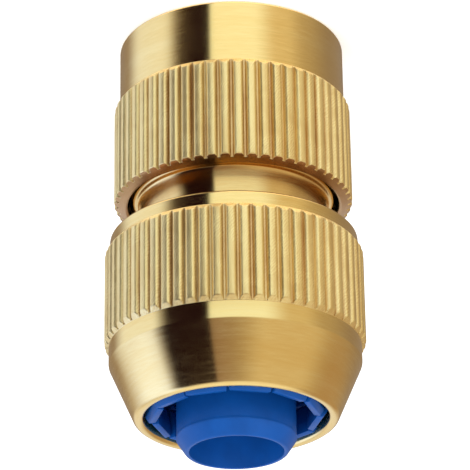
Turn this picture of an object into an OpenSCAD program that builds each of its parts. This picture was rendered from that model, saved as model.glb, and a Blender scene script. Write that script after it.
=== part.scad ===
// Brass hose quick connector, standing on its socket end.
// The axis is Z, the sleeve's front face is at z = 0 and the hose end points up.

/* [Locking sleeve] */
// Length of the sliding sleeve
sleeve_l = 21.3; // [19:0.1:24]
// Wall of the sleeve round the spring
sleeve_wall = 0.94; // [0.7:0.02:1.6]
// Length of the plain band at the socket end
sleeve_band_l = 7.9; // [4:0.1:12]
// How far the knurl stands out of the band
sleeve_knurl_rise = 0.7; // [0.55:0.05:1.2]
// Room for the spring, between the socket tube and the sleeve
spring_room = 2.06; // [1.7:0.02:2.4]
// How far the sleeve is pulled back to release the plug
sleeve_travel = 3.6; // [2.5:0.1:4]
// Thickness of the lip that the snap ring stops
sleeve_lip_t = 1; // [0.7:0.1:1.6]
// Rise of the sleeve's rear face, from the knurl to the bore
sleeve_rear_rise = 0.7; // [0.4:0.05:0.9]
// Length of the rear guide in the sleeve, in front of the spring
guide_l = 1.1; // [0.8:0.1:2]

/* [Clamping nut] */
// Length of the nut
nut_l = 23.15; // [21.5:0.05:26]
// Wall of the nut round the collet
nut_wall = 2.35; // [1.6:0.05:3]
// How much narrower the front band is than the rear band
nut_front_drop = 0.1; // [0:0.05:0.3]
// Length of the front band
nut_front_l = 1.7; // [1:0.1:4]
// How far the nut's knurl stands out of the rear band
nut_knurl_rise = 0.55; // [0.55:0.05:1.2]
// Length of the nut's knurl
nut_knurl_l = 12.25; // [8:0.05:13]
// Length of the outer cone, down to the lip
nut_cone_l = 7.1; // [5:0.1:8]
// Width of the lip at the mouth
nut_lip_w = 1.15; // [0.9:0.05:1.6]
// Room for the hose and the fingers, between the tail and the mouth
mouth_room = 3.85; // [3.6:0.05:4.2]
// Length of the straight land inside the mouth
nut_land_l = 2.2; // [1.2:0.1:3.5]
// Length of the inner cone that squeezes the collet
nut_squeeze_l = 5.4; // [4.5:0.1:6.5]

/* [Knurl] */
// Distance between flutes round each knurl, as near as a whole number of flutes allows
knurl_pitch = 1.63; // [1.3:0.01:2.2]
// Share of each pitch that the ridge top takes
ridge_share = 0.5; // [0.3:0.05:0.75]
// Depth of the sleeve's flutes
sleeve_flute_d = 0.6; // [0.3:0.05:0.65]
// Depth of the nut's flutes
nut_flute_d = 0.5; // [0.3:0.05:0.55]
// Direction of the sleeve's first ridge
sleeve_ridge_turn = -2.97; // [-3.2:0.01:3.2]
// Direction of the nut's first ridge
nut_ridge_turn = 1.24; // [-3:0.01:3]

/* [Body] */
// Wall of the socket tube, which guides the sleeve
tube_wall = 1.7; // [1.4:0.05:2.2]
// How much wider the socket is than the plug bore, round the plug's collar
collar_step = 1.05; // [0.8:0.05:1.4]
// How much wider the plug bore is than the stem's head
plug_step = 0.25; // [0.1:0.05:0.5]
// Length of the plug bore, up to the hose stem
plug_bore_l = 7; // [5:0.1:8]
// Width of the shoulder that the spring stands on, from the tube out to the flange's rim
shoulder_w = 1.4; // [1.2:0.05:1.5]
// Thickness of the flange behind the spring
flange_t = 1.2; // [0.8:0.1:1.4]
// How much narrower the neck is than the flange
neck_step = 0.9; // [0.6:0.05:1.1]
// How far the rear thread stands out of the neck
thread_step = 1.1; // [1:0.05:1.3]
// Length of the rear thread
thread_l = 7.55; // [6:0.05:9]
// Room for the hose end in the cup, round the tail
cup_room = 2.55; // [2.3:0.05:2.8]
// Depth of the cup
cup_d = 5.2; // [3:0.1:6]
// Free space between the pulled sleeve and the nut
nut_gap = 0.75; // [0.4:0.05:1.5]

/* [Claws] */
// Height of a claw
claw_h = 3.9; // [3.2:0.1:4.6]
// How far the teeth stand off the plug bore with the plug locked
tooth_step = 0.25; // [0.1:0.05:0.5]
// Angle that a tooth spans
tooth_angle = 44; // [30:1:56]
// Angle that a claw's outer shoe spans
shoe_angle = 56; // [48:1:72]
// Outward lift of the claws for each mm that the sleeve moves
cam_slope = 0.25; // [0.18:0.01:0.27]
// Height of the sloped pad on each shoe
pad_h = 1.6; // [1:0.1:2.2]

/* [Hose stem] */
// Outer radius of the hose tail
tail_r = 7.05; // [6.9:0.05:7.3]
// Wall of the tail
tail_wall = 1.5; // [1.25:0.05:1.8]
// How far the tail stands out of the nut
tail_out = 3.8; // [2:0.1:8]
// Length of the tapered nose
nose_l = 1.6; // [1:0.1:2.5]
// Width of the rim at the tip
rim_w = 0.4; // [0.2:0.05:0.8]
// Thickness of the stem's head
head_t = 1.8; // [1.4:0.1:2.4]
// How far the land that is pressed into the body stands out of the tail
land_step = 0.5; // [0.3:0.05:0.7]
// How far the head stands out of that land
head_step = 0.25; // [0.15:0.05:0.5]
// Length of that land
land_l = 4.6; // [4:0.1:5.4]
// Thickness of the stem's sealing ring
oring_d = 1.22; // [1:0.02:1.24]
// Rise of each barb on the tail
barb_rise = 0.3; // [0.1:0.05:0.5]
// Distance between barbs
barb_pitch = 4; // [3:0.5:5]

/* [Collet] */
// Number of fingers
fingers = 12; // [8:1:14]
// Direction of the first finger
finger_turn = 20.5; // [0:0.5:45]
// Width of the slots between the fingers
slot_w = 0.5; // [0.3:0.05:1]
// Twist of each finger plate about its own middle
finger_skew = 4; // [0:0.5:6]
// Height of the collet's base ring
base_h = 2.2; // [1.6:0.1:3]
// How much wider the base ring is inside than the hose cup
base_step = 0.1; // [0:0.05:0.4]
// Thickness of the fingers
finger_t = 1.4; // [1:0.05:1.7]
// Slope height of the fingers' end faces
tip_bevel = 0.75; // [0.2:0.05:1]
// How far the fingers end below the lip
tip_drop = 0.2; // [0.1:0.05:1]

/* [Spring and snap ring] */
// Wire of the sleeve spring
wire_d = 0.8; // [0.7:0.05:0.9]
// Length of the spring with the sleeve forward
spring_l = 7.6; // [7.2:0.1:8.2]
// Turns of the spring
spring_turns = 4.5; // [3.5:0.25:5]
// Width of the snap ring
snap_w = 1.05; // [0.9:0.05:1.15]
// Depth of the snap ring's groove in the tube
snap_groove_d = 0.45; // [0.35:0.05:0.6]
// Thickness of the snap ring
snap_t = 0.8; // [0.6:0.05:1]
// Angle of the gap in the snap ring
snap_open = 22; // [10:1:40]

/* [Fits] */
// Radial gap of parts that slide or turn on each other
run_gap = 0.05; // [0.03:0.01:0.08]
// Gap beside parts that only pass each other
gap = 0.3; // [0.25:0.05:0.4]
// Radial gap in the thread
thread_gap = 0.1; // [0.05:0.01:0.15]
// Small edge breaks
edge = 0.25; // [0.1:0.05:0.3]

/* [Hidden] */
$fn = 96;

// Heights, from the sleeve's front face up
body_z0 = gap;
snap_z0 = body_z0 + 2 * gap;
lip_z0 = snap_z0 + snap_t + run_gap * 2;
lip_z1 = lip_z0 + sleeve_lip_t;
claw_z0 = lip_z1 + sleeve_travel + gap;
claw_z1 = claw_z0 + claw_h;
window_z1 = claw_z1 + gap;
guide_z1 = window_z1 + guide_l;
plug_z0 = window_z1 + 3 * gap;
spring_z0 = guide_z1 + run_gap;
shoulder_z = guide_z1 + spring_l;
head_z0 = plug_z0 + plug_bore_l;
seat_z = head_z0 + head_t;
land_z1 = seat_z + land_l;
nut_z0 = sleeve_l + sleeve_travel + nut_gap;
nut_z1 = nut_z0 + nut_l;
flange_z1 = shoulder_z + flange_t;
neck_z1 = nut_z0 + gap;
rim_z = nut_z0 + thread_l;
cup_z0 = rim_z - cup_d;
collet_z0 = rim_z + gap;
tip_z = nut_z1 - tip_drop;
tail_z1 = nut_z1 + tail_out;
squeeze_z1 = nut_z1 - nut_land_l;
squeeze_z0 = squeeze_z1 - nut_squeeze_l;

// Radii, from the hose tail outwards
water_r = tail_r - tail_wall;
tip_r = water_r + rim_w;
tail_hole_r = tail_r + run_gap;
land_r = tail_r + land_step;
land_hole_r = land_r + run_gap;
head_r = land_r + head_step;
head_hole_r = head_r + run_gap;
plug_r = head_r + plug_step;
tooth_r = plug_r + tooth_step;
socket_r = plug_r + collar_step;
tube_r = socket_r + tube_wall;
flange_r = tube_r + shoulder_w;
neck_r = flange_r - neck_step;
thread_r = neck_r + thread_step;
cup_r = tail_r + cup_room;
base_in_r = cup_r + base_step;

// Radii of the sleeve and what it holds
sleeve_guide_r = tube_r + run_gap;
spring_r = tube_r + gap + wire_d / 2;
sleeve_bore_r = tube_r + spring_room;
sleeve_band_r = sleeve_bore_r + sleeve_wall;
sleeve_knurl_r = sleeve_band_r + sleeve_knurl_rise;
snap_groove_r = tube_r - snap_groove_d;
snap_in_r = snap_groove_r + run_gap;
snap_out_r = snap_in_r + snap_w;
sleeve_mouth_r = snap_out_r + gap;
shoe_in_r = tube_r + run_gap;
shoe_top_r = shoe_in_r + 4 * run_gap;
shoe_r = shoe_top_r + cam_slope * pad_h;
cam_gap = 2 * run_gap;

// Radii of the nut and the collet
nut_thread_r = thread_r + thread_gap;
nut_chamber_r = thread_r + gap;
nut_rear_r = nut_chamber_r + nut_wall;
nut_front_r = nut_rear_r - nut_front_drop;
nut_knurl_r = nut_rear_r + nut_knurl_rise;
nut_mouth_r = tail_r + mouth_room;
nut_lip_r = nut_mouth_r + nut_lip_w;
collet_r = nut_chamber_r - gap - 2 * run_gap;
finger_r = collet_r - gap;
tip_out_r = nut_mouth_r - gap - 2 * run_gap;
tip_in_r = tip_out_r - finger_t - run_gap;

// Radii of the sealing ring in the stem's groove
oring_floor_r = land_hole_r - oring_d - run_gap;
oring_r = (oring_floor_r + land_hole_r) / 2;

// Ridges and flutes round a knurl, as seen along the axis
module knurl_outline(crest_r, depth, turn) {
    flutes = round(2 * PI * crest_r / knurl_pitch);
    pitch = 360 / flutes;
    ridge = pitch * ridge_share;
    rotate([0, 0, turn]) polygon([
        for (i = [0 : flutes - 1])
            for (corner = [[-ridge / 2, crest_r], [ridge / 2, crest_r], [pitch / 2, crest_r - depth]])
                corner[1] * [cos(i * pitch + corner[0]), sin(i * pitch + corner[0])]
    ]);
}

// A turned ring whose largest stretch is cut back to a knurl
module knurled_ring(section, z0, length, crest_r, depth, turn) {
    intersection() {
        rotate_extrude() polygon(section);
        translate([0, 0, z0 - 1]) linear_extrude(length + 2) knurl_outline(crest_r, depth, turn);
    }
}

// The sleeve: plain band, knurl, snap ring recess, cam recess over the claws and spring bore
module sleeve() {
    over_r = sleeve_knurl_r + 0.1;
    run_in = over_r - sleeve_band_r;
    cam_top_r = shoe_top_r + cam_gap - cam_slope * gap;
    cam_l = pad_h + gap + sleeve_travel;
    cam_r = cam_top_r + cam_slope * cam_l;
    color("goldenrod")
        knurled_ring([
            [sleeve_mouth_r + edge, 0],
            [sleeve_band_r - edge, 0],
            [sleeve_band_r, edge],
            [sleeve_band_r, sleeve_band_l],
            [over_r, sleeve_band_l + run_in],
            [over_r, sleeve_l - sleeve_rear_rise],
            [sleeve_bore_r + edge, sleeve_l],
            [sleeve_bore_r, sleeve_l - edge],
            [sleeve_bore_r, guide_z1],
            [sleeve_guide_r, guide_z1],
            [sleeve_guide_r, window_z1],
            [cam_top_r, window_z1],
            [cam_r, window_z1 - cam_l],
            [cam_r, lip_z1],
            [sleeve_guide_r, lip_z1],
            [sleeve_guide_r, lip_z0],
            [sleeve_mouth_r, lip_z0],
            [sleeve_mouth_r, edge]
        ], 0, sleeve_l, sleeve_knurl_r, sleeve_flute_d, sleeve_ridge_turn);
}

// The nut: knurled grip, outer cone with a rounded lip, thread bore, chamber and squeezing cone
module nut() {
    over_r = nut_knurl_r + 0.1;
    knurl_z0 = nut_z0 + nut_front_l;
    knurl_z1 = knurl_z0 + nut_knurl_l;
    cone_z0 = nut_z1 - nut_cone_l;
    lip_mid_r = (nut_lip_r + nut_mouth_r) / 2;
    color("goldenrod")
        knurled_ring([
            [nut_thread_r + edge, nut_z0],
            [nut_front_r - edge, nut_z0],
            [nut_front_r, nut_z0 + edge],
            [nut_front_r, knurl_z0],
            [over_r, knurl_z0 + over_r - nut_front_r],
            [over_r, knurl_z1 - over_r + nut_rear_r],
            [nut_rear_r, knurl_z1],
            [nut_rear_r, cone_z0],
            [nut_lip_r, nut_z1 - edge],
            [(nut_lip_r + lip_mid_r) / 2, nut_z1 - edge / 3],
            [lip_mid_r, nut_z1],
            [(nut_mouth_r + lip_mid_r) / 2, nut_z1 - edge / 3],
            [nut_mouth_r, nut_z1 - edge * 1.4],
            [nut_mouth_r, squeeze_z1],
            [nut_chamber_r, squeeze_z0],
            [nut_chamber_r, rim_z],
            [nut_thread_r, rim_z],
            [nut_thread_r, nut_z0 + edge]
        ], nut_z0, nut_l, nut_knurl_r, nut_flute_d, nut_ridge_turn);
}

// The body: socket tube with claw windows, plug bore, flange, neck, rear thread and hose cup
module body() {
    window_angle = tooth_angle + 4;
    color("darkgoldenrod")
        difference() {
            rotate_extrude() polygon([
                [socket_r + 2 * edge, body_z0],
                [tube_r - edge, body_z0],
                [tube_r, body_z0 + edge],
                [tube_r, snap_z0 - run_gap],
                [snap_groove_r, snap_z0 - run_gap],
                [snap_groove_r, snap_z0 + snap_t + run_gap],
                [tube_r, snap_z0 + snap_t + run_gap],
                [tube_r, shoulder_z],
                [flange_r, shoulder_z],
                [flange_r, flange_z1 - edge],
                [flange_r - edge, flange_z1],
                [neck_r, flange_z1],
                [neck_r, neck_z1],
                [thread_r - 2 * edge, neck_z1],
                [thread_r, neck_z1 + 2 * edge],
                [thread_r, rim_z - 2 * edge],
                [thread_r - 2 * edge, rim_z],
                [cup_r + edge, rim_z],
                [cup_r, rim_z - edge],
                [cup_r, cup_z0],
                [tail_hole_r, cup_z0],
                [tail_hole_r, land_z1],
                [land_hole_r, land_z1],
                [land_hole_r, seat_z],
                [head_hole_r, seat_z],
                [head_hole_r, head_z0],
                [plug_r, head_z0],
                [plug_r, plug_z0 + edge],
                [plug_r + edge, plug_z0],
                [socket_r, plug_z0],
                [socket_r, body_z0 + 2 * edge]
            ]);
            for (turn = [45 : 90 : 315])
                rotate([0, 0, turn - window_angle / 2])
                    rotate_extrude(angle = window_angle)
                        translate([plug_r + edge, claw_z0 - gap])
                            square([tube_r - plug_r, claw_h + 2 * gap]);
        }
}

// One claw: a tooth through the body's window, under a wider shoe that the sleeve's cam holds
module claw(turn) {
    rotate([0, 0, turn]) {
        rotate([0, 0, -tooth_angle / 2])
            rotate_extrude(angle = tooth_angle) polygon([
                [socket_r, claw_z0],
                [shoe_in_r + 0.1, claw_z0],
                [shoe_in_r + 0.1, claw_z1],
                [tooth_r + gap, claw_z1],
                [tooth_r, claw_z1 - gap],
                [tooth_r, claw_z0 + 1.5 * (socket_r - tooth_r)]
            ]);
        rotate([0, 0, -shoe_angle / 2])
            rotate_extrude(angle = shoe_angle) polygon([
                [shoe_in_r, claw_z0],
                [shoe_r, claw_z0],
                [shoe_r, claw_z1 - pad_h],
                [shoe_top_r, claw_z1],
                [shoe_in_r, claw_z1]
            ]);
    }
}

module claw_1() { color("royalblue") claw(45); }
module claw_2() { color("royalblue") claw(135); }
module claw_3() { color("royalblue") claw(225); }
module claw_4() { color("royalblue") claw(315); }

// The hose stem: head against the plug, pressed land with a ring groove, barbed tail and nose
module hose_stem() {
    groove_z = seat_z + land_l * 0.5;
    groove_h = oring_d + gap;
    barb_z = (cup_z0 + tip_z) / 2;
    color("royalblue")
        rotate_extrude() polygon(concat(
            [
                [water_r + 2 * edge, head_z0],
                [head_r - edge, head_z0],
                [head_r, head_z0 + edge],
                [head_r, seat_z],
                [land_r, seat_z],
                [land_r, groove_z - groove_h / 2],
                [oring_floor_r, groove_z - groove_h / 2],
                [oring_floor_r, groove_z + groove_h / 2],
                [land_r, groove_z + groove_h / 2],
                [land_r, land_z1],
                [tail_r, land_z1]
            ],
            [
                for (i = [-1 : 1])
                    each [
                        [tail_r, barb_z + i * barb_pitch - barb_pitch * 0.3],
                        [tail_r + barb_rise, barb_z + i * barb_pitch - barb_pitch * 0.25],
                        [tail_r, barb_z + i * barb_pitch + barb_pitch * 0.25]
                    ]
            ],
            [
                [tail_r, tail_z1 - nose_l],
                [tip_r, tail_z1],
                [water_r, tail_z1],
                [water_r, head_z0 + 2 * edge]
            ]
        ));
}

// The rubber ring in the stem's groove
module stem_oring() {
    color("dimgray")
        translate([0, 0, seat_z + land_l * 0.5])
            rotate_extrude() translate([oring_r, 0]) circle(d = oring_d, $fn = 32);
}

// One collet finger, drawn at azimuth 0: a flat tapered plate with a bevelled end and grip ribs
module finger() {
    root_z = collet_z0 + base_h;
    half = 180 / fingers;
    mid_r = (tip_in_r + tip_out_r) / 2;
    rib_in = run_gap * 5;
    translate([mid_r, 0, 0]) rotate([0, 0, -finger_skew]) translate([-mid_r, 0, 0])
        intersection() {
            rotate([90, 0, 0]) translate([0, 0, -finger_r]) linear_extrude(2 * finger_r) polygon([
                [finger_r - finger_t - run_gap * 4, root_z - edge],
                [collet_r + 1, root_z - edge],
                [collet_r + 1, squeeze_z1],
                [tip_out_r, squeeze_z1 + run_gap],
                [tip_out_r - run_gap, tip_z - tip_bevel],
                [tip_in_r, tip_z],
                [tip_in_r, tip_z - 2 * tip_bevel],
                [tip_in_r + rib_in * 2, tip_z - 3 * tip_bevel],
                [tip_in_r + rib_in, tip_z - 3 * tip_bevel - edge],
                [tip_in_r + rib_in * 3, tip_z - 5 * tip_bevel],
                [tip_in_r + rib_in * 2, tip_z - 5 * tip_bevel - edge],
                [finger_r - finger_t - run_gap * 4, squeeze_z0 - gap]
            ]);
            linear_extrude(tip_z + 1) polygon([
                [slot_w, 0],
                [2 * finger_r, 2 * finger_r * tan(half) - slot_w / 2 / cos(half)],
                [2 * finger_r, slot_w / 2 / cos(half) - 2 * finger_r * tan(half)]
            ]);
        }
}

// The collet: a base ring on the body's rim and a crown of fingers inside the nut's cone
module collet() {
    slope = (nut_chamber_r - nut_mouth_r) / nut_squeeze_l;
    cone_gap = gap + run_gap;
    color("royalblue") {
        rotate_extrude() polygon([
            [base_in_r + edge, collet_z0],
            [collet_r, collet_z0],
            [collet_r, collet_z0 + base_h],
            [base_in_r, collet_z0 + base_h],
            [base_in_r, collet_z0 + edge]
        ]);
        intersection() {
            rotate_extrude() polygon([
                [0, collet_z0 + base_h - edge],
                [finger_r, collet_z0 + base_h - edge],
                [finger_r, squeeze_z0 + (nut_chamber_r - cone_gap - finger_r) / slope],
                [tip_out_r, squeeze_z0 + (nut_chamber_r - cone_gap - tip_out_r) / slope],
                [tip_out_r, tip_z + 1],
                [0, tip_z + 1]
            ]);
            union()
                for (i = [0 : fingers - 1])
                    rotate([0, 0, finger_turn + i * 360 / fingers]) finger();
        }
    }
}

// Height of the spring wire's middle after so many turns, with closed end turns
function spring_z(turn) =
    let (end_turns = 0.75, end_pitch = wire_d + run_gap,
         length = spring_l - 2 * run_gap,
         pitch = (length - wire_d - 2 * end_turns * end_pitch) / (spring_turns - 2 * end_turns),
         low = min(turn, end_turns),
         high = max(0, turn - (spring_turns - end_turns)))
    spring_z0 + wire_d / 2 + (low + high) * end_pitch + (turn - low - high) * pitch;

// The compression spring, as a tube swept along a helix
module spring() {
    sides = 8;
    steps = round(spring_turns * 24);
    rings = [
        for (i = [0 : steps])
            let (turn = i * spring_turns / steps, height = spring_z(turn))
            for (k = [0 : sides - 1])
                let (reach = spring_r + wire_d / 2 * cos(k * 360 / sides))
                [reach * cos(turn * 360), reach * sin(turn * 360),
                 height + wire_d / 2 * sin(k * 360 / sides)]
    ];
    skin = [
        for (i = [0 : steps - 1])
            for (k = [0 : sides - 1])
                let (a = i * sides + k, b = i * sides + (k + 1) % sides)
                each [[a, b, a + sides], [b, b + sides, a + sides]]
    ];
    ends = [
        [for (k = [sides - 1 : -1 : 0]) k],
        [for (k = [0 : sides - 1]) steps * sides + k]
    ];
    color("silver") polyhedron(points = rings, faces = concat(skin, ends));
}

// The split ring in the body's front groove
module snap_ring() {
    color("silver")
        rotate([0, 0, 90 + snap_open / 2])
            rotate_extrude(angle = 360 - snap_open)
                translate([snap_in_r, snap_z0]) square([snap_w, snap_t]);
}

body();
sleeve();
nut();
collet();
hose_stem();
stem_oring();
spring();
snap_ring();
claw_1();
claw_2();
claw_3();
claw_4();
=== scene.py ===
import math

import bmesh
import bpy
from mathutils import Matrix, Vector, noise


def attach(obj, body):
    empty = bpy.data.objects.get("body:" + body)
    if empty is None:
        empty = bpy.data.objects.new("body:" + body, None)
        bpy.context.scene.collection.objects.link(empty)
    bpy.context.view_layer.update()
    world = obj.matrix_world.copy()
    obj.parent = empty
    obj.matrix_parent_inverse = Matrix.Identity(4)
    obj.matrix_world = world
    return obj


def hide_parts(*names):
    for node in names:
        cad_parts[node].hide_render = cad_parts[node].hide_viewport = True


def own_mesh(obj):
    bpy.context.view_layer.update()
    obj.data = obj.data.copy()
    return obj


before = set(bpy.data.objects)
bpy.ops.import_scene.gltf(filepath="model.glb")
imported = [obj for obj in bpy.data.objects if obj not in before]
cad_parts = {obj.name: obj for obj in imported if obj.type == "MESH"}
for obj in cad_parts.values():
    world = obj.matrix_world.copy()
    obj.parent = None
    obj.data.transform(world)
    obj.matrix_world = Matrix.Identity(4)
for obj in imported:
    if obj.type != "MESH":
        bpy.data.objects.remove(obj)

# Brass hose quick connector. Sizes in the dictionaries are in millimetres, angles in degrees.
mm = 0.001
fullTurn = 2 * math.pi
knurlWander = 0.0012
uvRow = 0.06
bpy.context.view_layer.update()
scene = bpy.context.scene
print("frame loaded")


# Mesh helpers

def closedOutline(points):
    mesh = bmesh.new()
    corners = [mesh.verts.new((point[0] * mm, 0, point[1] * mm)) for point in points]
    for here, there in zip(corners, corners[1:] + corners[:1]):
        mesh.edges.new((here, there))
    return mesh, corners


def softenCorners(mesh, corners, points, roundness):
    # a third number in a point is its own roundness
    groups = {}
    for corner, point in zip(corners, points):
        groups.setdefault(point[2] if len(point) > 2 else roundness, []).append(corner)
    for width, group in groups.items():
        if width > 0:
            bmesh.ops.bevel(mesh, geom=group, offset=width * mm, offset_type="OFFSET", segments=2,
                            profile=0.5, affect="VERTICES", material=-1, clamp_overlap=True)


def cutRows(mesh, rows):
    # outer edges between two heights are cut up: chamfers finely, the straight stretch coarsely
    for edge in mesh.edges[:]:
        a, b = (vert.co for vert in edge.verts)
        inside = rows["z0"] * mm - 1e-7 <= min(a.z, b.z) and max(a.z, b.z) <= rows["z1"] * mm + 1e-7
        step = rows["fine"] if abs(a.x - b.x) > 1e-6 else rows["coarse"]
        cuts = round((a - b).length / (step * mm)) - 1
        if inside and cuts > 0 and min(a.x, b.x) > rows["outsideR"] * mm:
            bmesh.ops.subdivide_edges(mesh, edges=[edge], cuts=cuts)


def spinRound(mesh, columns):
    bmesh.ops.spin(mesh, geom=mesh.verts[:] + mesh.edges[:], cent=(0, 0, 0), axis=(0, 0, 1),
                   dvec=(0, 0, 0), angle=fullTurn, steps=columns, use_merge=True,
                   use_normal_flip=False, use_duplicate=False)
    bmesh.ops.remove_doubles(mesh, verts=mesh.verts, dist=1e-6)
    bmesh.ops.recalc_face_normals(mesh, faces=mesh.faces)


def turnedPart(points, columns, roundness):
    mesh, corners = closedOutline(points)
    softenCorners(mesh, corners, points, roundness)
    spinRound(mesh, columns)
    return mesh


def knurledPart(points, roundness, cut):
    # one ridge with half a groove on each side is spun and cut, then repeated round the axis
    mesh, corners = closedOutline(points)
    softenCorners(mesh, corners, points, roundness)
    cutRows(mesh, cut)
    pitch = fullTurn / cut["flutes"]
    bmesh.ops.rotate(mesh, verts=mesh.verts, cent=(0, 0, 0),
                     matrix=Matrix.Rotation(math.radians(cut["ridgeTurn"]) - pitch / 2, 3, "Z"))
    bmesh.ops.spin(mesh, geom=mesh.verts[:] + mesh.edges[:], cent=(0, 0, 0), axis=(0, 0, 1),
                   dvec=(0, 0, 0), angle=pitch, steps=cut["columns"], use_merge=False,
                   use_normal_flip=False, use_duplicate=False)
    cutRidge(mesh, cut)
    bmesh.ops.spin(mesh, geom=mesh.verts[:] + mesh.edges[:] + mesh.faces[:], cent=(0, 0, 0),
                   axis=(0, 0, 1), dvec=(0, 0, 0), angle=pitch * (cut["flutes"] - 1),
                   steps=cut["flutes"] - 1, use_merge=False, use_normal_flip=False, use_duplicate=True)
    bmesh.ops.remove_doubles(mesh, verts=mesh.verts, dist=2e-6)
    for vert in mesh.verts:
        # the tool wandered a little from ridge to ridge
        if vert.co.xy.length / mm > cut["crestR"] - 0.3 and cut["z0"] < vert.co.z / mm < cut["z1"]:
            vert.co.xy *= 1 - knurlWander * (1 + noise.noise(vert.co * 500))
    bmesh.ops.recalc_face_normals(mesh, faces=mesh.faces)
    return mesh


def wrapUv(mesh):
    # u runs along the axis and v round it, so that the highlight stretches across the lathe's marks
    layer = mesh.loops.layers.uv.new("roundUv")
    for face in mesh.faces:
        middle = face.calc_center_median()
        around = math.atan2(middle.y, middle.x)
        for loop in face.loops:
            place = loop.vert.co
            turn = (math.atan2(place.y, place.x) - around + math.pi) % fullTurn - math.pi + around
            loop[layer].uv = ((place.z + 1.3 * place.xy.length) / uvRow, turn / fullTurn)


def finishPiece(mesh, name, body, nodes, materials, sharpAngle=35):
    wrapUv(mesh)
    data = bpy.data.meshes.new(name)
    mesh.to_mesh(data)
    mesh.free()
    for material in materials:
        data.materials.append(material)
    data.shade_smooth()
    data.set_sharp_from_angle(angle=math.radians(sharpAngle))
    piece = bpy.data.objects.new(name, data)
    scene.collection.objects.link(piece)
    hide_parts(*nodes)
    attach(piece, body)
    print("made", name, len(data.polygons), "faces")
    return piece


# Node helpers for materials

def newTree(name):
    material = bpy.data.materials.new(name)
    material.use_nodes = True
    tree = material.node_tree
    shader = tree.nodes["Principled BSDF"]
    return material, tree, shader


def addNode(tree, kind, **settings):
    node = tree.nodes.new(kind)
    for key, value in settings.items():
        setattr(node, key, value)
    return node


def maths(tree, operation, first, second=0.0, third=0.0):
    node = addNode(tree, "ShaderNodeMath", operation=operation)
    for socket, value in zip(node.inputs, (first, second, third)):
        if isinstance(value, (int, float)):
            socket.default_value = value
        else:
            tree.links.new(value, socket)
    return node.outputs[0]


def ramp(tree, factor, stops, mode="LINEAR"):
    node = addNode(tree, "ShaderNodeValToRGB")
    node.color_ramp.interpolation = mode
    elements = node.color_ramp.elements
    while len(elements) < len(stops):
        elements.new(0.5)
    for element, (position, colour) in zip(elements, stops):
        element.position = position
        element.color = (*colour, 1)
    tree.links.new(factor, node.inputs[0])
    return node.outputs[0]


def smoothStep(tree, value, low, high):
    node = addNode(tree, "ShaderNodeMapRange", interpolation_type="SMOOTHSTEP")
    tree.links.new(value, node.inputs[0])
    node.inputs[1].default_value = low
    node.inputs[2].default_value = high
    return node.outputs[0]


def mixColour(tree, factor, first, second, blend="MIX"):
    node = addNode(tree, "ShaderNodeMix", data_type="RGBA", blend_type=blend)
    for socket, value in ((node.inputs[0], factor), (node.inputs[6], first), (node.inputs[7], second)):
        if isinstance(value, (int, float)):
            socket.default_value = value
        elif isinstance(value, tuple):
            socket.default_value = (*value, 1)
        else:
            tree.links.new(value, socket)
    return node.outputs[2]


def noiseOf(tree, vector, scale, detail=2.0, roughness=0.5):
    node = addNode(tree, "ShaderNodeTexNoise")
    tree.links.new(vector, node.inputs["Vector"])
    node.inputs["Scale"].default_value = scale
    node.inputs["Detail"].default_value = detail
    node.inputs["Roughness"].default_value = roughness
    return node.outputs["Fac"]


def bumpOf(tree, height, strength, distance, normal=None):
    node = addNode(tree, "ShaderNodeBump")
    node.inputs["Strength"].default_value = strength
    node.inputs["Distance"].default_value = distance
    tree.links.new(height, node.inputs["Height"])
    if normal:
        tree.links.new(normal, node.inputs["Normal"])
    return node.outputs["Normal"]


def latheVector(tree, around, across):
    # rings on the part: slow change round the axis, quick change along it and outwards
    place = addNode(tree, "ShaderNodeTexCoord").outputs["Object"]
    split = addNode(tree, "ShaderNodeSeparateXYZ")
    tree.links.new(place, split.inputs[0])
    x, y, z = split.outputs
    squares = maths(tree, "ADD", maths(tree, "MULTIPLY", x, x), maths(tree, "MULTIPLY", y, y))
    reach = maths(tree, "SQRT", squares)
    along = maths(tree, "ADD", z, maths(tree, "MULTIPLY", reach, 0.8))
    join = addNode(tree, "ShaderNodeCombineXYZ")
    for socket, value, scale in zip(join.inputs, (x, y, along), (around, around, across)):
        tree.links.new(maths(tree, "MULTIPLY", value, scale), socket)
    return place, join.outputs[0]


# Turned brass: fine rings from the tool, a stretched highlight, slight changes of tone
brassLook = {
    "colour": (0.93, 0.74, 0.36),
    "warmColour": (0.88, 0.65, 0.27),
    "roughness": 0.15,
    "anisotropy": 0.9,
    "ringSpacing": 0.16,
    "ringDepth": 0.003,
}


def turnedBrass(name, look):
    material, tree, shader = newTree(name)
    place, rings = latheVector(tree, 60, 1 / mm)
    fine = noiseOf(tree, rings, 1 / look["ringSpacing"], 3, 0.6)
    broad = noiseOf(tree, rings, 0.55, 2, 0.5)
    patches = noiseOf(tree, place, 180, 2, 0.5)
    tone = maths(tree, "ADD", maths(tree, "MULTIPLY", fine, 0.5), maths(tree, "MULTIPLY", broad, 0.5))
    tone = smoothStep(tree, tone, 0.32, 0.72)
    colour = mixColour(tree, tone, look["warmColour"], look["colour"])
    tree.links.new(colour, shader.inputs["Base Color"])
    shader.inputs["Metallic"].default_value = 1
    rough = maths(tree, "MULTIPLY_ADD", fine, 0.16, look["roughness"] - 0.08)
    rough = maths(tree, "ADD", rough, maths(tree, "MULTIPLY", patches, 0.05))
    tree.links.new(rough, shader.inputs["Roughness"])
    shader.inputs["Anisotropic"].default_value = look["anisotropy"]
    tangent = addNode(tree, "ShaderNodeTangent", direction_type="UV_MAP", uv_map="roundUv")
    tree.links.new(tangent.outputs[0], shader.inputs["Tangent"])
    tree.links.new(bumpOf(tree, fine, 0.5, look["ringDepth"] * mm), shader.inputs["Normal"])
    return material


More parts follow.
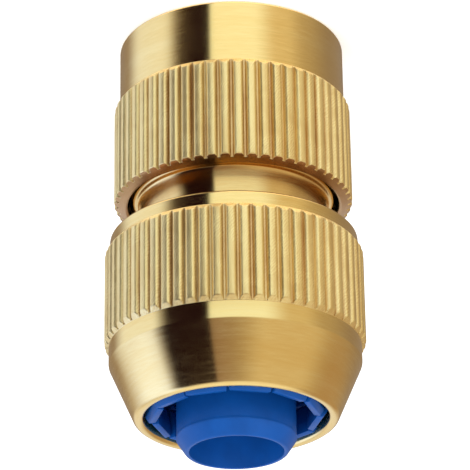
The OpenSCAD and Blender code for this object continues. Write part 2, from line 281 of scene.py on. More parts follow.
# Painted shade: the body's brass is browner and darker for its neck in the gap; the two faces across the gap
# are far darker
shadedBodyLook = {**brassLook, "colour": (0.87, 0.66, 0.31), "warmColour": (0.76, 0.51, 0.21)}
gapShadeLook = {**brassLook, "colour": (0.58, 0.37, 0.20), "warmColour": (0.46, 0.28, 0.13)}

# Knurled brass: rougher, with slanting tool marks, and painted shade that turns the grooves browner and darker
knurlLook = {
    "crest": (1.0, 0.84, 0.45),
    "groove": (0.70, 0.47, 0.24),
    "streak": (0.83, 0.74, 0.63),
    "roughness": 0.45,
    "marksRound": 260,
    "marksAlong": -2.2,
    "markDepth": 0.026,
}


def knurledBrass(name, look):
    material, tree, shader = newTree(name)
    place = addNode(tree, "ShaderNodeTexCoord").outputs["Object"]
    split = addNode(tree, "ShaderNodeSeparateXYZ")
    tree.links.new(place, split.inputs[0])
    x, y, z = split.outputs
    grain = noiseOf(tree, place, 3500, 2, 0.6)
    streaks = smoothStep(tree, noiseOf(tree, latheVector(tree, 1100, 60)[1], 1, 2, 0.6), 0.32, 0.68)
    # slanting marks: a whole number of waves round the axis, climbing along it, broken up by the grain
    around = maths(tree, "MULTIPLY", maths(tree, "ARCTAN2", y, x), look["marksRound"])
    climb = maths(tree, "MULTIPLY", z, fullTurn * look["marksAlong"] / mm)
    wobble = noiseOf(tree, place, 1500, 2, 0.6)
    phase = maths(tree, "MULTIPLY_ADD", wobble, 14, maths(tree, "ADD", around, climb))
    patchy = smoothStep(tree, noiseOf(tree, place, 420, 2, 0.5), 0.35, 0.6)
    wave = maths(tree, "MULTIPLY_ADD", maths(tree, "SINE", phase), 0.5, 0.5)
    marks = maths(tree, "MULTIPLY", wave, patchy)
    groove = addNode(tree, "ShaderNodeAttribute", attribute_name="grooveShare").outputs["Fac"]
    uneven = maths(tree, "MULTIPLY_ADD", streaks, -0.6, 1)
    # painted shade: deep in the grooves the colour turns to the darker groove brown, less so where the streaks
    # are light
    grooveShade = maths(tree, "MULTIPLY", smoothStep(tree, groove, 0.5, 1.0), uneven)
    colour = mixColour(tree, grooveShade, look["crest"], look["groove"])
    clean = maths(tree, "MULTIPLY_ADD", marks, 0.7, maths(tree, "MULTIPLY_ADD", streaks, 0.7, 0.15))
    shade = mixColour(tree, clean, look["streak"], (1.0, 1.0, 1.0))
    tree.links.new(mixColour(tree, 1.0, colour, shade, "MULTIPLY"), shader.inputs["Base Color"])
    shader.inputs["Metallic"].default_value = 1
    rough = maths(tree, "MULTIPLY_ADD", grain, 0.2, look["roughness"] - 0.1)
    tree.links.new(rough, shader.inputs["Roughness"])
    height = maths(tree, "MULTIPLY_ADD", marks, 0.6, maths(tree, "MULTIPLY", grain, 0.8))
    tree.links.new(bumpOf(tree, height, 0.8, look["markDepth"] * mm), shader.inputs["Normal"])
    return material


plasticLook = {
    "colour": (0.003, 0.083, 0.37),
    "deepColour": (0.003, 0.069, 0.31),
    "roughness": 0.40,
    "grain": 0.012,
}


def mouldedPlastic(name, look):
    material, tree, shader = newTree(name)
    place = addNode(tree, "ShaderNodeTexCoord").outputs["Object"]
    broad = noiseOf(tree, place, 260, 3, 0.55)
    fine = noiseOf(tree, place, 4200, 2, 0.6)
    colour = mixColour(tree, smoothStep(tree, broad, 0.3, 0.7), look["deepColour"], look["colour"])
    tree.links.new(colour, shader.inputs["Base Color"])
    shader.inputs["Specular IOR Level"].default_value = 0.22
    rough = maths(tree, "MULTIPLY_ADD", fine, 0.14, look["roughness"] - 0.07)
    tree.links.new(rough, shader.inputs["Roughness"])
    normal = bumpOf(tree, broad, 0.25, 0.06 * mm)
    tree.links.new(bumpOf(tree, fine, 0.35, look["grain"] * mm, normal), shader.inputs["Normal"])
    return material


def softRubber(name):
    material, tree, shader = newTree(name)
    place = addNode(tree, "ShaderNodeTexCoord").outputs["Object"]
    fine = noiseOf(tree, place, 5000, 2, 0.6)
    tree.links.new(ramp(tree, fine, [(0.3, (0.012, 0.012, 0.013)), (0.7, (0.03, 0.03, 0.032))]),
                   shader.inputs["Base Color"])
    tree.links.new(maths(tree, "MULTIPLY_ADD", fine, 0.2, 0.5), shader.inputs["Roughness"])
    tree.links.new(bumpOf(tree, fine, 0.4, 0.01 * mm), shader.inputs["Normal"])
    return material


def drawnSteel(name):
    material, tree, shader = newTree(name)
    place = addNode(tree, "ShaderNodeTexCoord").outputs["Object"]
    fine = noiseOf(tree, place, 2600, 3, 0.6)
    tree.links.new(ramp(tree, fine, [(0.3, (0.42, 0.42, 0.44)), (0.7, (0.66, 0.66, 0.68))]),
                   shader.inputs["Base Color"])
    shader.inputs["Metallic"].default_value = 1
    tree.links.new(maths(tree, "MULTIPLY_ADD", fine, 0.25, 0.2), shader.inputs["Roughness"])
    tree.links.new(bumpOf(tree, fine, 0.3, 0.01 * mm), shader.inputs["Normal"])
    return material


brass = turnedBrass("turnedBrass", brassLook)
shadedBodyBrass = turnedBrass("shadedBodyBrass", shadedBodyLook)
gapShadeBrass = turnedBrass("gapShadeBrass", gapShadeLook)
knurlBrass = knurledBrass("knurledBrass", knurlLook)
bluePlastic = mouldedPlastic("bluePlastic", plasticLook)
knurledMaterials = [brass, knurlBrass, gapShadeBrass]
rubber = softRubber("blackRubber")
steel = drawnSteel("drawnSteel")
print("materials ready")


# Knurl: how deep the cut is, in mm, from the middle of a ridge (0) to the middle of a groove (1)
knurlSection = ((0, 0), (0.375, 0.02), (0.5, 0.06), (0.75, 0.27), (0.875, 0.5), (1, 0.5))


def knurlDepth(share, deepest):
    for (nearShare, nearDepth), (farShare, farDepth) in zip(knurlSection, knurlSection[1:]):
        if share <= farShare + 1e-4:
            part = (share - nearShare) / (farShare - nearShare)
            return (nearDepth + (farDepth - nearDepth) * part) * deepest / knurlSection[-1][1]
    return deepest


def cutRidge(mesh, cut):
    layer = mesh.verts.layers.float.new("grooveShare")
    for vert in mesh.verts:
        turn = math.atan2(vert.co.y, vert.co.x) - math.radians(cut["ridgeTurn"])
        share = abs((turn * cut["flutes"] / fullTurn + 0.5) % 1 - 0.5) * 2
        limit = (cut["crestR"] - knurlDepth(share, cut["depth"])) * mm
        reach = vert.co.xy.length
        if reach > limit and cut["z0"] < vert.co.z / mm < cut["z1"]:
            vert.co.xy *= limit / reach
            vert[layer] = share
    for face in mesh.faces:
        middle = face.calc_center_median()
        face.normal_update()
        outside = cut["z0"] < middle.z / mm < cut["z1"] and middle.xy.length / mm > cut["outsideR"]
        if outside and abs(face.normal.z) < 0.8:
            face.material_index = 1
        # faces in the gap take the third, far darker brass: painted shade
        elif cut["gapShadeZ0"] < middle.z / mm < cut["gapShadeZ1"]:
            face.material_index = 2


# Locking sleeve, seen from its front face at z = 0 up
sleeveSizes = {
    "length": 21.3, "bandR": 13.8, "bandL": 7.9, "crestR": 14.5, "boreR": 12.86, "guideR": 10.85,
    "mouthR": 11.75, "lipZ0": 1.8, "lipZ1": 2.8, "windowZ1": 10.9, "guideZ1": 12.0,
    "camTopR": 11.075, "camR": 12.45, "camZ0": 5.4, "edge": 0.25, "rearRise": 0.655,
    "fluteDepth": 0.6, "flutes": 56, "ridgeTurn": -2.97,
}


def makeSleeve(s):
    top = s["length"]
    outline = [
        (s["mouthR"] + s["edge"], 0), (s["bandR"] - s["edge"], 0, 0.08), (s["bandR"], s["edge"], 0.08),
        (s["bandR"], s["bandL"]), (s["crestR"], s["bandL"] + s["crestR"] - s["bandR"], 0.12),
        (s["crestR"], top - s["rearRise"], 0.12), (s["boreR"] + s["edge"], top, 0.05),
        (s["boreR"], top - s["edge"], 0.05),
        (s["boreR"], s["guideZ1"], 0), (s["guideR"], s["guideZ1"]), (s["guideR"], s["windowZ1"]),
        (s["camTopR"], s["windowZ1"]), (s["camR"], s["camZ0"]), (s["camR"], s["lipZ1"], 0),
        (s["guideR"], s["lipZ1"]), (s["guideR"], s["lipZ0"]), (s["mouthR"], s["lipZ0"], 0),
        (s["mouthR"], s["edge"]),
    ]
    cut = {"crestR": s["crestR"], "depth": s["fluteDepth"], "flutes": s["flutes"], "columns": 16,
           "ridgeTurn": s["ridgeTurn"], "z0": s["bandL"], "z1": top, "outsideR": s["bandR"] - 0.8,
           "fine": 0.09, "coarse": 1.6, "gapShadeZ0": top - s["rearRise"], "gapShadeZ1": top + 0.1}
    mesh = knurledPart(outline, 0.03, cut)
    return finishPiece(mesh, "locking_sleeve", "locking_sleeve", ["sleeve"], knurledMaterials)


makeSleeve(sleeveSizes)

# Clamping nut, from its front face up to the lip
nutSizes = {
    "z0": 25.65, "length": 23.15, "frontR": 14.95, "rearR": 15.05, "crestR": 15.6, "knurlZ0": 27.35,
    "knurlZ1": 39.6, "coneZ0": 41.7, "lipR": 12.05, "mouthR": 10.9, "chamberR": 12.7, "threadR": 12.5,
    "squeezeZ0": 41.2, "squeezeZ1": 46.6, "rimZ": 33.2, "edge": 0.25,
    "fluteDepth": 0.5, "flutes": 60, "ridgeTurn": 1.24,
}


def makeNut(s):
    z1 = s["z0"] + s["length"]
    lipMid = (s["lipR"] + s["mouthR"]) / 2
    outline = [
        (s["threadR"] + s["edge"], s["z0"]), (s["frontR"] - s["edge"], s["z0"], 0.08),
        (s["frontR"], s["z0"] + s["edge"], 0.08), (s["frontR"], s["knurlZ0"]),
        (s["crestR"], s["knurlZ0"] + s["crestR"] - s["frontR"], 0.12),
        (s["crestR"], s["knurlZ1"] - s["crestR"] + s["rearR"], 0.12), (s["rearR"], s["knurlZ1"]),
        (s["rearR"], s["coneZ0"], 0.12), (s["lipR"], z1 - s["edge"], 0.3), (lipMid, z1, 0.35),
        (s["mouthR"], z1 - s["edge"] * 1.4, 0.2), (s["mouthR"], s["squeezeZ1"], 0.1),
        (s["chamberR"], s["squeezeZ0"]), (s["chamberR"], s["rimZ"], 0), (s["threadR"], s["rimZ"]),
        (s["threadR"], s["z0"] + s["edge"]),
    ]
    cut = {"crestR": s["crestR"], "depth": s["fluteDepth"], "flutes": s["flutes"], "columns": 16,
           "ridgeTurn": s["ridgeTurn"], "z0": s["knurlZ0"], "z1": s["knurlZ1"],
           "outsideR": s["frontR"] - 0.2, "fine": 0.09, "coarse": 1.6,
           "gapShadeZ0": s["z0"] - 0.1, "gapShadeZ1": s["z0"] + 0.1}
    mesh = knurledPart(outline, 0.03, cut)
    addThread(mesh, threadSizes["nut"], threadSizes["pitch"])
    return finishPiece(mesh, "clamping_nut", "clamping_nut", ["nut"], knurledMaterials)


# Helical thread ridges: the body's point outwards and the nut's point inwards, half a pitch apart
threadSizes = {
    "pitch": 2.0,
    "body": {"rootR": 11.55, "crestR": 12.38, "z0": 26.05, "z1": 33.15, "shift": 0.0},
    "nut": {"rootR": 12.55, "crestR": 11.75, "z0": 25.95, "z1": 33.15, "shift": 1.0},
}


def addThread(whole, t, pitch):
    # a ridge swept along the helix in a mesh of its own, then added to the part
    stepsPerTurn = 48
    turns = math.ceil((t["z1"] - t["z0"]) / pitch) + 1
    start = t["z0"] - pitch + t["shift"]
    mesh = bmesh.new()
    section = [(t["rootR"], -0.72), (t["crestR"], -0.2), (t["crestR"], 0.2), (t["rootR"], 0.72)]
    face = mesh.faces.new([mesh.verts.new((r * mm, 0, (start + z) * mm)) for r, z in section])
    bmesh.ops.spin(mesh, geom=[face], cent=(0, 0, 0), axis=(0, 0, 1),
                   dvec=(0, 0, pitch * mm / stepsPerTurn), angle=fullTurn * turns,
                   steps=turns * stepsPerTurn, use_merge=False, use_normal_flip=False, use_duplicate=False)
    for vert in mesh.verts:
        # the ridge sinks into the wall near both ends of the thread
        z = vert.co.z / mm
        fade = max(0.0, min(1.0, min(z - t["z0"], t["z1"] - z) / 0.5 + 0.2))
        reach = vert.co.xy.length
        root = t["rootR"] * mm
        vert.co.xy *= (root + (reach - root) * fade) / reach
        vert.co.z = max(t["z0"], min(t["z1"], z)) * mm
    bmesh.ops.remove_doubles(mesh, verts=mesh.verts, dist=1e-6)
    bmesh.ops.dissolve_degenerate(mesh, edges=mesh.edges, dist=1e-7)
    bmesh.ops.recalc_face_normals(mesh, faces=mesh.faces)
    ridge = bpy.data.meshes.new("threadRidge")
    mesh.to_mesh(ridge)
    mesh.free()
    whole.from_mesh(ridge)
    bpy.data.meshes.remove(ridge)


makeNut(nutSizes)

# Body: one turned piece with four windows for the claws
bodySizes = {
    "z0": 0.3, "socketR": 9.1, "tubeR": 10.8, "grooveR": 10.35, "grooveZ0": 0.85, "grooveZ1": 1.75,
    "windowZ0": 6.4, "windowZ1": 10.9, "windowAngle": 48, "plugZ0": 11.8, "plugR": 8.05,
    "shoulderZ": 19.6, "flangeR": 12.2, "flangeZ1": 20.8, "hollowH": 1.3, "neckR": 11.3,
    "neckZ1": 25.95, "rimZ": 33.2, "cupR": 9.6, "cupZ0": 28.0, "tailHoleR": 7.1, "landHoleR": 7.6,
    "landZ1": 25.2, "seatZ": 20.6, "headHoleR": 7.85, "headZ0": 18.8, "edge": 0.25,
}


def hollowCurve(outerR, z0, innerR, z1):
    # the hollow that runs from the flange down to the neck
    turns = [step * math.pi / 16 for step in range(9)]
    return [(innerR + (outerR - innerR) * (1 - math.sin(turn)), z0 + (z1 - z0) * (1 - math.cos(turn)), 0)
            for turn in turns]


def makeBody(s):
    rootR = threadSizes["body"]["rootR"] + 0.05
    outline = [
        (s["socketR"] + 2 * s["edge"], s["z0"]), (s["tubeR"] - s["edge"], s["z0"]),
        (s["tubeR"], s["z0"] + s["edge"]), (s["tubeR"], s["grooveZ0"]), (s["grooveR"], s["grooveZ0"], 0),
        (s["grooveR"], s["grooveZ1"], 0), (s["tubeR"], s["grooveZ1"]), (s["tubeR"], s["windowZ0"], 0),
        (s["tubeR"], s["windowZ1"], 0), (s["tubeR"], s["shoulderZ"], 0), (s["flangeR"], s["shoulderZ"]),
        (s["flangeR"], s["flangeZ1"] - s["edge"], 0.1), (s["flangeR"] - s["edge"], s["flangeZ1"], 0.1),
        *hollowCurve(s["flangeR"] - 2 * s["edge"], s["flangeZ1"], s["neckR"], s["flangeZ1"] + s["hollowH"]),
        (s["neckR"], s["neckZ1"]), (rootR, s["neckZ1"] + 0.4), (rootR, s["rimZ"] - 2 * s["edge"]),
        (rootR - 0.3, s["rimZ"]), (s["cupR"] + s["edge"], s["rimZ"]), (s["cupR"], s["rimZ"] - s["edge"]),
        (s["cupR"], s["cupZ0"], 0.2), (s["tailHoleR"], s["cupZ0"]), (s["tailHoleR"], s["landZ1"], 0),
        (s["landHoleR"], s["landZ1"], 0), (s["landHoleR"], s["seatZ"], 0), (s["headHoleR"], s["seatZ"], 0),
        (s["headHoleR"], s["headZ0"], 0), (s["plugR"], s["headZ0"]), (s["plugR"], s["plugZ0"] + s["edge"]),
        (s["plugR"] + s["edge"], s["plugZ0"]), (s["socketR"], s["plugZ0"], 0.1),
        (s["socketR"], s["windowZ1"], 0), (s["socketR"], s["windowZ0"], 0),
        (s["socketR"], s["z0"] + 2 * s["edge"]),
    ]
    mesh = turnedPart(outline, 120, 0.05)
    cutWindows(mesh, s)
    addThread(mesh, threadSizes["body"], threadSizes["pitch"])
    return finishPiece(mesh, "connector_body", "fixed_body", ["body"], [shadedBodyBrass])


def cutWindows(mesh, s):
    # the faces over each window go, inside and outside, and the two openings are joined by walls
    for claw in range(4):
        doomed = set()
        for face in mesh.faces:
            middle = face.calc_center_median()
            away = (math.degrees(math.atan2(middle.y, middle.x)) - 45 - 90 * claw + 180) % 360 - 180
            if s["windowZ0"] < middle.z / mm < s["windowZ1"] and abs(away) < s["windowAngle"] / 2:
                doomed.add(face)
        rims = {edge for face in doomed for edge in face.edges
                if sum(other in doomed for other in edge.link_faces) == 1}
        bmesh.ops.delete(mesh, geom=list(doomed), context="FACES_ONLY")
        bmesh.ops.bridge_loops(mesh, edges=[edge for edge in rims if edge.is_valid])
    bmesh.ops.delete(mesh, geom=[v for v in mesh.verts if not v.link_faces], context="VERTS")
    bmesh.ops.delete(mesh, geom=[e for e in mesh.edges if not e.link_faces], context="EDGES")
    bmesh.ops.recalc_face_normals(mesh, faces=mesh.faces)


makeBody(bodySizes)

# Hose stem: head, pressed land with a ring groove, barbed tail and rounded nose
stemSizes = {
    "headZ0": 18.8, "seatZ": 20.6, "landZ1": 25.2, "tipZ": 52.6, "ridgeZ": 51.0, "waterR": 5.55,
    "tipR": 5.95, "tailR": 7.05, "landR": 7.55, "headR": 7.8, "grooveR": 6.33, "grooveZ": 22.9,
    "grooveH": 1.52, "barbR": 7.35, "barbs": (34.3, 38.3, 42.3), "barbPitch": 4, "edge": 0.25,
}


def makeStem(s):
    outline = [
        (s["waterR"] + 2 * s["edge"], s["headZ0"]), (s["headR"] - s["edge"], s["headZ0"]),
        (s["headR"], s["headZ0"] + s["edge"]), (s["headR"], s["seatZ"]), (s["landR"], s["seatZ"]),
        (s["landR"], s["grooveZ"] - s["grooveH"] / 2), (s["grooveR"], s["grooveZ"] - s["grooveH"] / 2),
        (s["grooveR"], s["grooveZ"] + s["grooveH"] / 2), (s["landR"], s["grooveZ"] + s["grooveH"] / 2),
        (s["landR"], s["landZ1"]), (s["tailR"], s["landZ1"]),
    ]
    for barb in s["barbs"]:
        outline += [
            (s["tailR"], barb - s["barbPitch"] * 0.3), (s["barbR"], barb - s["barbPitch"] * 0.25),
            (s["tailR"], barb + s["barbPitch"] * 0.25),
        ]
    outline += [
        (s["tailR"], s["ridgeZ"] - 0.4), (s["tailR"] + 0.07, s["ridgeZ"] - 0.1),
        (s["tailR"] - 0.05, s["ridgeZ"] + 0.1), (s["tipR"] + 0.05, s["tipZ"], 0.2),
        (s["waterR"], s["tipZ"], 0.12), (s["waterR"], s["headZ0"] + 2 * s["edge"]),
    ]
    mesh = turnedPart(outline, 144, 0.06)
    return finishPiece(mesh, "hose_stem_tail", "fixed_body", ["hose_stem"], [bluePlastic])


makeStem(stemSizes)

# Collet: a base ring that carries a crown of twelve flat fingers
colletSizes = {
    "baseR": 12.3, "baseInR": 9.7, "z0": 33.5, "baseZ1": 35.7, "fingers": 12, "firstTurn": 20.5,
    "slot": 0.32, "skew": 4, "thickness": 1.4, "fingerR": 11.95, "tipR": 10.3, "tipInR": 9.05,
    "tipZ": 48.6, "bevelH": 0.75, "squeezeZ0": 41.2, "squeezeZ1": 46.6, "edge": 0.25,
}


def addFinger(mesh, s, turn):
    root = s["baseZ1"] - s["edge"]
    inR = s["fingerR"] - s["thickness"] - 0.2
    section = [
        (inR, root), (s["fingerR"] - 0.35, root), (s["fingerR"] - 0.35, s["squeezeZ0"] - 0.5),
        (s["tipR"], s["squeezeZ1"] - 0.5), (s["tipR"], s["tipZ"] - s["bevelH"]),
        (s["tipR"] - 0.5, s["tipZ"]), (s["tipInR"], s["tipZ"] - 0.1), (s["tipInR"], s["tipZ"] - 1.4),
        (s["tipInR"] + 0.35, s["tipZ"] - 3.4),
        (s["tipInR"] + 0.7, s["tipZ"] - 3.7), (s["tipInR"] + 0.45, s["tipZ"] - 4.0),
        (inR, s["squeezeZ0"] - 0.3),
    ]
    before = set(mesh.verts)
    edgesBefore = set(mesh.edges)
    spread = math.tan(math.pi / s["fingers"])
    corners = [mesh.verts.new((r * mm, 0, z * mm)) for r, z in section]
    face = mesh.faces.new(corners)
    made = bmesh.ops.extrude_face_region(mesh, geom=[face])
    far = [item for item in made["geom"] if isinstance(item, bmesh.types.BMVert)]
    for vert in far:
        vert.co.y = vert.co.x * spread - s["slot"] * mm / 2
    for vert in corners:
        vert.co.y = s["slot"] * mm / 2 - vert.co.x * spread
    sides = [edge for edge in mesh.edges if edge not in edgesBefore and edge.calc_length() > 0.4 * mm]
    bmesh.ops.bevel(mesh, geom=sides, offset=0.11 * mm, offset_type="OFFSET", segments=2, profile=0.5,
                    affect="EDGES", material=-1, clamp_overlap=True)
    own = [vert for vert in mesh.verts if vert not in before]
    middle = Vector(((s["tipR"] + s["tipInR"]) / 2 * mm, 0, 0))
    for centre, angle in ((middle, -s["skew"]), ((0, 0, 0), turn)):
        bmesh.ops.rotate(mesh, verts=own, cent=centre, matrix=Matrix.Rotation(math.radians(angle), 3, "Z"))


def makeCollet(s):
    outline = [
        (s["baseInR"] + s["edge"], s["z0"]), (s["baseR"], s["z0"]), (s["baseR"], s["baseZ1"]),
        (s["baseInR"], s["baseZ1"]), (s["baseInR"], s["z0"] + s["edge"]),
    ]
    mesh = turnedPart(outline, 144, 0.1)
    for finger in range(s["fingers"]):
        addFinger(mesh, s, s["firstTurn"] + finger * 360 / s["fingers"])
    bmesh.ops.recalc_face_normals(mesh, faces=mesh.faces)
    return finishPiece(mesh, "collet_crown", "collet_carriage", ["collet"], [bluePlastic])


makeCollet(colletSizes)

# Rubber ring behind the stem's head
ringSizes = {"meanR": 6.965, "wireD": 1.22, "z": 22.9}


def makeSealRing(s):
    mesh = bmesh.new()
    bmesh.ops.create_circle(mesh, cap_ends=False, radius=s["wireD"] / 2 * mm, segments=20,
                            matrix=Matrix.Translation((s["meanR"] * mm, 0, s["z"] * mm))
                            @ Matrix.Rotation(math.pi / 2, 4, "X"))
    spinRound(mesh, 96)
    return finishPiece(mesh, "seal_ring", "fixed_body", ["stem_oring"], [rubber], 60)


makeSealRing(ringSizes)

# Sleeve spring, with closed end turns, and how far it is left when the sleeve is pulled back
springSizes = {
    "meanR": 11.5, "wireD": 0.8, "z0": 12.05, "length": 7.5, "turns": 4.5, "endTurns": 0.75,
    "shoulderZ": 19.6, "travel": 3.6,
}


def makeSpring(s):
    endPitch = s["wireD"] + 0.05
    middleTurns = s["turns"] - 2 * s["endTurns"]
    middlePitch = (s["length"] - s["wireD"] - 2 * s["endTurns"] * endPitch) / middleTurns
    mesh = bmesh.new()
    start = Matrix.Translation((s["meanR"] * mm, 0, (s["z0"] + s["wireD"] / 2) * mm))
    bmesh.ops.create_circle(mesh, cap_ends=True, radius=s["wireD"] / 2 * mm, segments=12,
                            matrix=start @ Matrix.Rotation(math.pi / 2, 4, "X"))
    last = mesh.faces[:]
    closed = (s["endTurns"], endPitch)
    for turns, pitch in (closed, (middleTurns, middlePitch), closed):
        steps = round(turns * 40)
        made = bmesh.ops.spin(mesh, geom=last, cent=(0, 0, 0), axis=(0, 0, 1),
                              dvec=(0, 0, turns * pitch * mm / steps), angle=fullTurn * turns, steps=steps,
                              use_merge=False, use_normal_flip=False, use_duplicate=False)
        last = [item for item in made["geom_last"] if isinstance(item, bmesh.types.BMFace)]
    bmesh.ops.recalc_face_normals(mesh, faces=mesh.faces)
    spring = finishPiece(mesh, "sleeve_spring", "fixed_body", ["spring"], [steel], 60)
    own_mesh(spring)


makeSpring(springSizes)


# The claws and the snap ring keep their CAD shape, with softened edges
def softenedCopy(node, name, body, material, width):
    mesh = bmesh.new()
    mesh.from_mesh(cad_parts[node].data)
    bmesh.ops.remove_doubles(mesh, verts=mesh.verts, dist=1e-6)
    bmesh.ops.dissolve_limit(mesh, angle_limit=math.radians(0.5), verts=mesh.verts, edges=mesh.edges)
    sharp = [edge for edge in mesh.edges if len(edge.link_faces) == 2 and edge.calc_face_angle() > 0.5]
    bmesh.ops.bevel(mesh, geom=sharp, offset=width * mm, offset_type="OFFSET", segments=2, profile=0.5,
                    affect="EDGES", material=-1, clamp_overlap=True)
    return finishPiece(mesh, name, body, [node], [material])


for number in range(1, 5):
    softenedCopy(f"claw_{number}", f"holding_claw_{number}", f"claw_{number}_slider",
                 bluePlastic, 0.12)
softenedCopy("snap_ring", "split_ring", "fixed_body", steel, 0.1)
print("pieces ready")


# Studio: a pale floor, soft lamps, and a dome of light that only the metal's reflections see
studio = {
    "floorSize": 6, "domeR": 3, "ambient": 0.75, "floorColour": (0.9, 0.9, 0.9), "floorLift": 0.3,
    "lampPower": 2.2, "room": (0.5, 0.4, 0.25), "cardEdge": 10,
}
# Soft cards of light on the dome, with tones estimated from the reflections in the photograph. Each lies
# over the ones before it. Middle and reach are degrees round from the camera's side, low and high degrees up.
lightCards = {
    "dimBack": {"middle": 180, "reach": 75, "soft": 25, "low": -90, "high": 2, "colour": (0.33, 0.26, 0.2)},
    "warmWall": {"middle": 52, "reach": 38, "soft": 20, "low": 2, "high": 90, "colour": (0.7, 0.57, 0.37)},
    "dimCorner": {"middle": 130, "reach": 34, "soft": 18, "low": 2, "high": 90, "colour": (0.47, 0.33, 0.2)},
    "paleBack": {"middle": 190, "reach": 32, "soft": 18, "low": 2, "high": 90, "colour": (0.88, 0.87, 0.88)},
    "sideBoard": {"middle": -97, "reach": 31, "soft": 14, "low": -90, "high": 2, "colour": (0.95, 1.02, 1.15)},
    "warmBoard": {"middle": 50, "reach": 24, "soft": 12, "low": -90, "high": 2, "colour": (0.72, 0.6, 0.38)},
    "frontBoard": {"middle": 2, "reach": 36, "soft": 14, "low": -90, "high": 2, "colour": (1.05, 1.13, 1.05)},
    "window": {"middle": -96, "reach": 31, "soft": 20, "low": 2, "high": 90, "colour": (1.1, 1.28, 1.8)},
    "frontShade": {"middle": -33, "reach": 34, "soft": 28, "low": 2, "high": 90, "colour": (0.3, 0.2, 0.15)},
    "ceiling": {"middle": 0, "reach": 200, "soft": 1, "low": 53, "high": 110, "colour": (1.03, 0.97, 0.82)},
    "table": {"middle": 0, "reach": 200, "soft": 1, "low": -110, "high": -50, "colour": (1.7, 1.45, 1.15)},
}
# The dark card that the brass mirrors: its edges in degrees round the dome, 0 at the camera's side
darkFlag = {"left": -67, "leftSlant": -0.12, "right": -23, "rightSlant": 0.02, "soft": 9, "sharp": 2,
            "height": -24, "topFade": (40, 60), "colour": (0.014, 0.005, 0.007)}


def emissionOnly(tree, colour, strength=1.0):
    output = next(node for node in tree.nodes if node.type.startswith("OUTPUT"))
    glow = addNode(tree, "ShaderNodeEmission")
    tree.links.new(colour, glow.inputs["Color"])
    glow.inputs["Strength"].default_value = strength
    tree.links.new(glow.outputs[0], output.inputs["Surface"])


def cardShape(tree, card, azimuth, rise, edge):
    turned = maths(tree, "WRAP", maths(tree, "SUBTRACT", azimuth, card["middle"]), 180, -180)
    aside = smoothStep(tree, maths(tree, "ABSOLUTE", turned), card["reach"] - card["soft"],
                       card["reach"] + card["soft"])
    across = maths(tree, "SUBTRACT", 1, aside)
    over = smoothStep(tree, rise, card["high"] - edge, card["high"] + edge)
    above = smoothStep(tree, rise, card["low"] - edge, card["low"] + edge)
    return maths(tree, "MULTIPLY", across, maths(tree, "MULTIPLY", above, maths(tree, "SUBTRACT", 1, over)))


def makeDome(s, flag):
    mesh = bmesh.new()
    bmesh.ops.create_icosphere(mesh, subdivisions=5, radius=s["domeR"])
    bmesh.ops.reverse_faces(mesh, faces=mesh.faces)
    data = bpy.data.meshes.new("lightDome")
    mesh.to_mesh(data)
    mesh.free()
    data.shade_smooth()
    dome = bpy.data.objects.new("lightDome", data)
    scene.collection.objects.link(dome)
    material, tree, shader = newTree("domeLight")
    split = addNode(tree, "ShaderNodeSeparateXYZ")
    tree.links.new(addNode(tree, "ShaderNodeTexCoord").outputs["Object"], split.inputs[0])
    x, y, z = split.outputs
    around = maths(tree, "ARCTAN2", maths(tree, "MULTIPLY", x, -1), maths(tree, "MULTIPLY", y, -1))
    azimuth = maths(tree, "MULTIPLY", around, 180 / math.pi)
    height = maths(tree, "ARCSINE", maths(tree, "DIVIDE", z, s["domeR"]))
    rise = maths(tree, "MULTIPLY", height, 180 / math.pi)
    tones = s["room"]
    for card in lightCards.values():
        tones = mixColour(tree, cardShape(tree, card, azimuth, rise, s["cardEdge"]), tones, card["colour"])
    above = maths(tree, "SUBTRACT", rise, flag["height"])
    leftEdge = maths(tree, "MULTIPLY_ADD", above, flag["leftSlant"], flag["left"])
    rightEdge = maths(tree, "MULTIPLY_ADD", above, flag["rightSlant"], flag["right"])
    fromLeft = maths(tree, "SUBTRACT", azimuth, leftEdge)
    fromRight = maths(tree, "SUBTRACT", rightEdge, azimuth)
    inside = maths(tree, "MULTIPLY", smoothStep(tree, fromLeft, -flag["soft"], flag["soft"]),
                   smoothStep(tree, fromRight, -flag["sharp"], flag["sharp"]))
    below = maths(tree, "SUBTRACT", 1, smoothStep(tree, rise, *flag["topFade"]))
    inside = maths(tree, "MULTIPLY", inside, below)
    emissionOnly(tree, mixColour(tree, inside, tones, flag["colour"]))
    material.cycles.emission_sampling = "NONE"
    data.materials.append(material)
    dome.visible_camera = False
    dome.visible_diffuse = False
    dome.visible_shadow = False
    dome.visible_transmission = False


def makeFloor(s):
    mesh = bmesh.new()
    bmesh.ops.create_grid(mesh, x_segments=1, y_segments=1, size=s["floorSize"] / 2)
    data = bpy.data.meshes.new("floor")
    mesh.to_mesh(data)
    mesh.free()
    floor = bpy.data.objects.new("floor", data)
    scene.collection.objects.link(floor)
    material, tree, shader = newTree("paleFloor")
    shader.inputs["Base Color"].default_value = (*s["floorColour"], 1)
    shader.inputs["Roughness"].default_value = 1
    shader.inputs["Specular IOR Level"].default_value = 0
    shader.inputs["Emission Color"].default_value = (1, 1, 1, 1)
    lift = maths(tree, "MULTIPLY", seenDirectly(tree), s["floorLift"])
    tree.links.new(lift, shader.inputs["Emission Strength"])
    data.materials.append(material)
    floor.visible_glossy = False


def seenDirectly(tree):
    path = addNode(tree, "ShaderNodeLightPath").outputs
    seen = maths(tree, "MAXIMUM", path["Is Camera Ray"], path["Is Glossy Ray"])
    return maths(tree, "MAXIMUM", seen, path["Is Transmission Ray"])


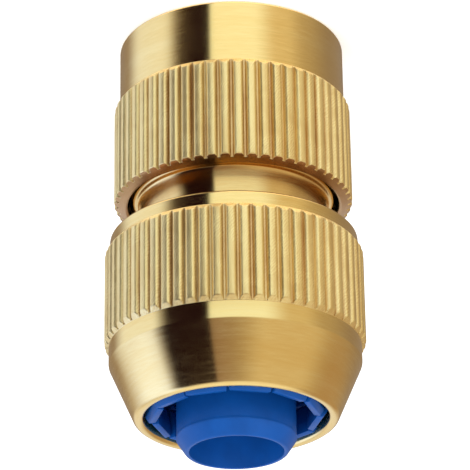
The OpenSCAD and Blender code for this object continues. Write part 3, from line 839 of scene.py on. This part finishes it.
def makeWorld(s):
    world = bpy.data.worlds.new("paleWorld")
    world.use_nodes = True
    tree = world.node_tree
    back = tree.nodes["Background"]
    back.inputs["Color"].default_value = (1, 1, 1, 1)
    level = maths(tree, "MULTIPLY_ADD", seenDirectly(tree), 1 - s["ambient"], s["ambient"])
    tree.links.new(level, back.inputs["Strength"])
    scene.world = world


def softLamp(name, place, size, power):
    lamp = bpy.data.lights.new(name, "AREA")
    lamp.shape = "DISK"
    lamp.size = size
    lamp.energy = power
    holder = bpy.data.objects.new(name, lamp)
    holder.location = place
    holder.rotation_euler = (Vector((0, 0, 0.025)) - Vector(place)).to_track_quat("-Z", "Y").to_euler()
    holder.visible_glossy = False
    scene.collection.objects.link(holder)


makeDome(studio, darkFlag)
makeFloor(studio)
makeWorld(studio)
softLamp("keyLamp", (0.35, -0.45, 0.55), 0.4, studio["lampPower"])
softLamp("fillLamp", (-0.45, -0.25, 0.5), 0.5, studio["lampPower"] * 0.6)
softLamp("backLamp", (0.1, 0.5, 0.6), 0.5, studio["lampPower"] * 0.6)
print("studio ready")

# Camera: it looks down at the hose end and is rolled half a turn, as the photograph hangs the part
cameraView = {
    "distance": 336.3, "rise": 24.33, "targetZ": 24.7, "roll": 179.2, "lens": 212.9, "shiftX": 0.0027,
    "shiftY": 0.0,
}


def makeCamera(v):
    data = bpy.data.cameras.new("photoCamera")
    data.lens = v["lens"]
    data.sensor_width = 36
    data.clip_start = 0.01
    data.shift_x = v["shiftX"]
    data.shift_y = v["shiftY"]
    camera = bpy.data.objects.new("photoCamera", data)
    scene.collection.objects.link(camera)
    rise = math.radians(v["rise"])
    target = Vector((0, 0, v["targetZ"] * mm))
    place = target + Vector((0, -math.cos(rise), math.sin(rise))) * v["distance"] * mm
    aim = (target - place).to_track_quat("-Z", "Y").to_matrix().to_4x4()
    roll = Matrix.Rotation(math.radians(v["roll"]), 4, "Z")
    camera.matrix_world = Matrix.Translation(place) @ aim @ roll
    scene.camera = camera


makeCamera(cameraView)
scene.view_settings.view_transform = "Standard"
print("camera ready")
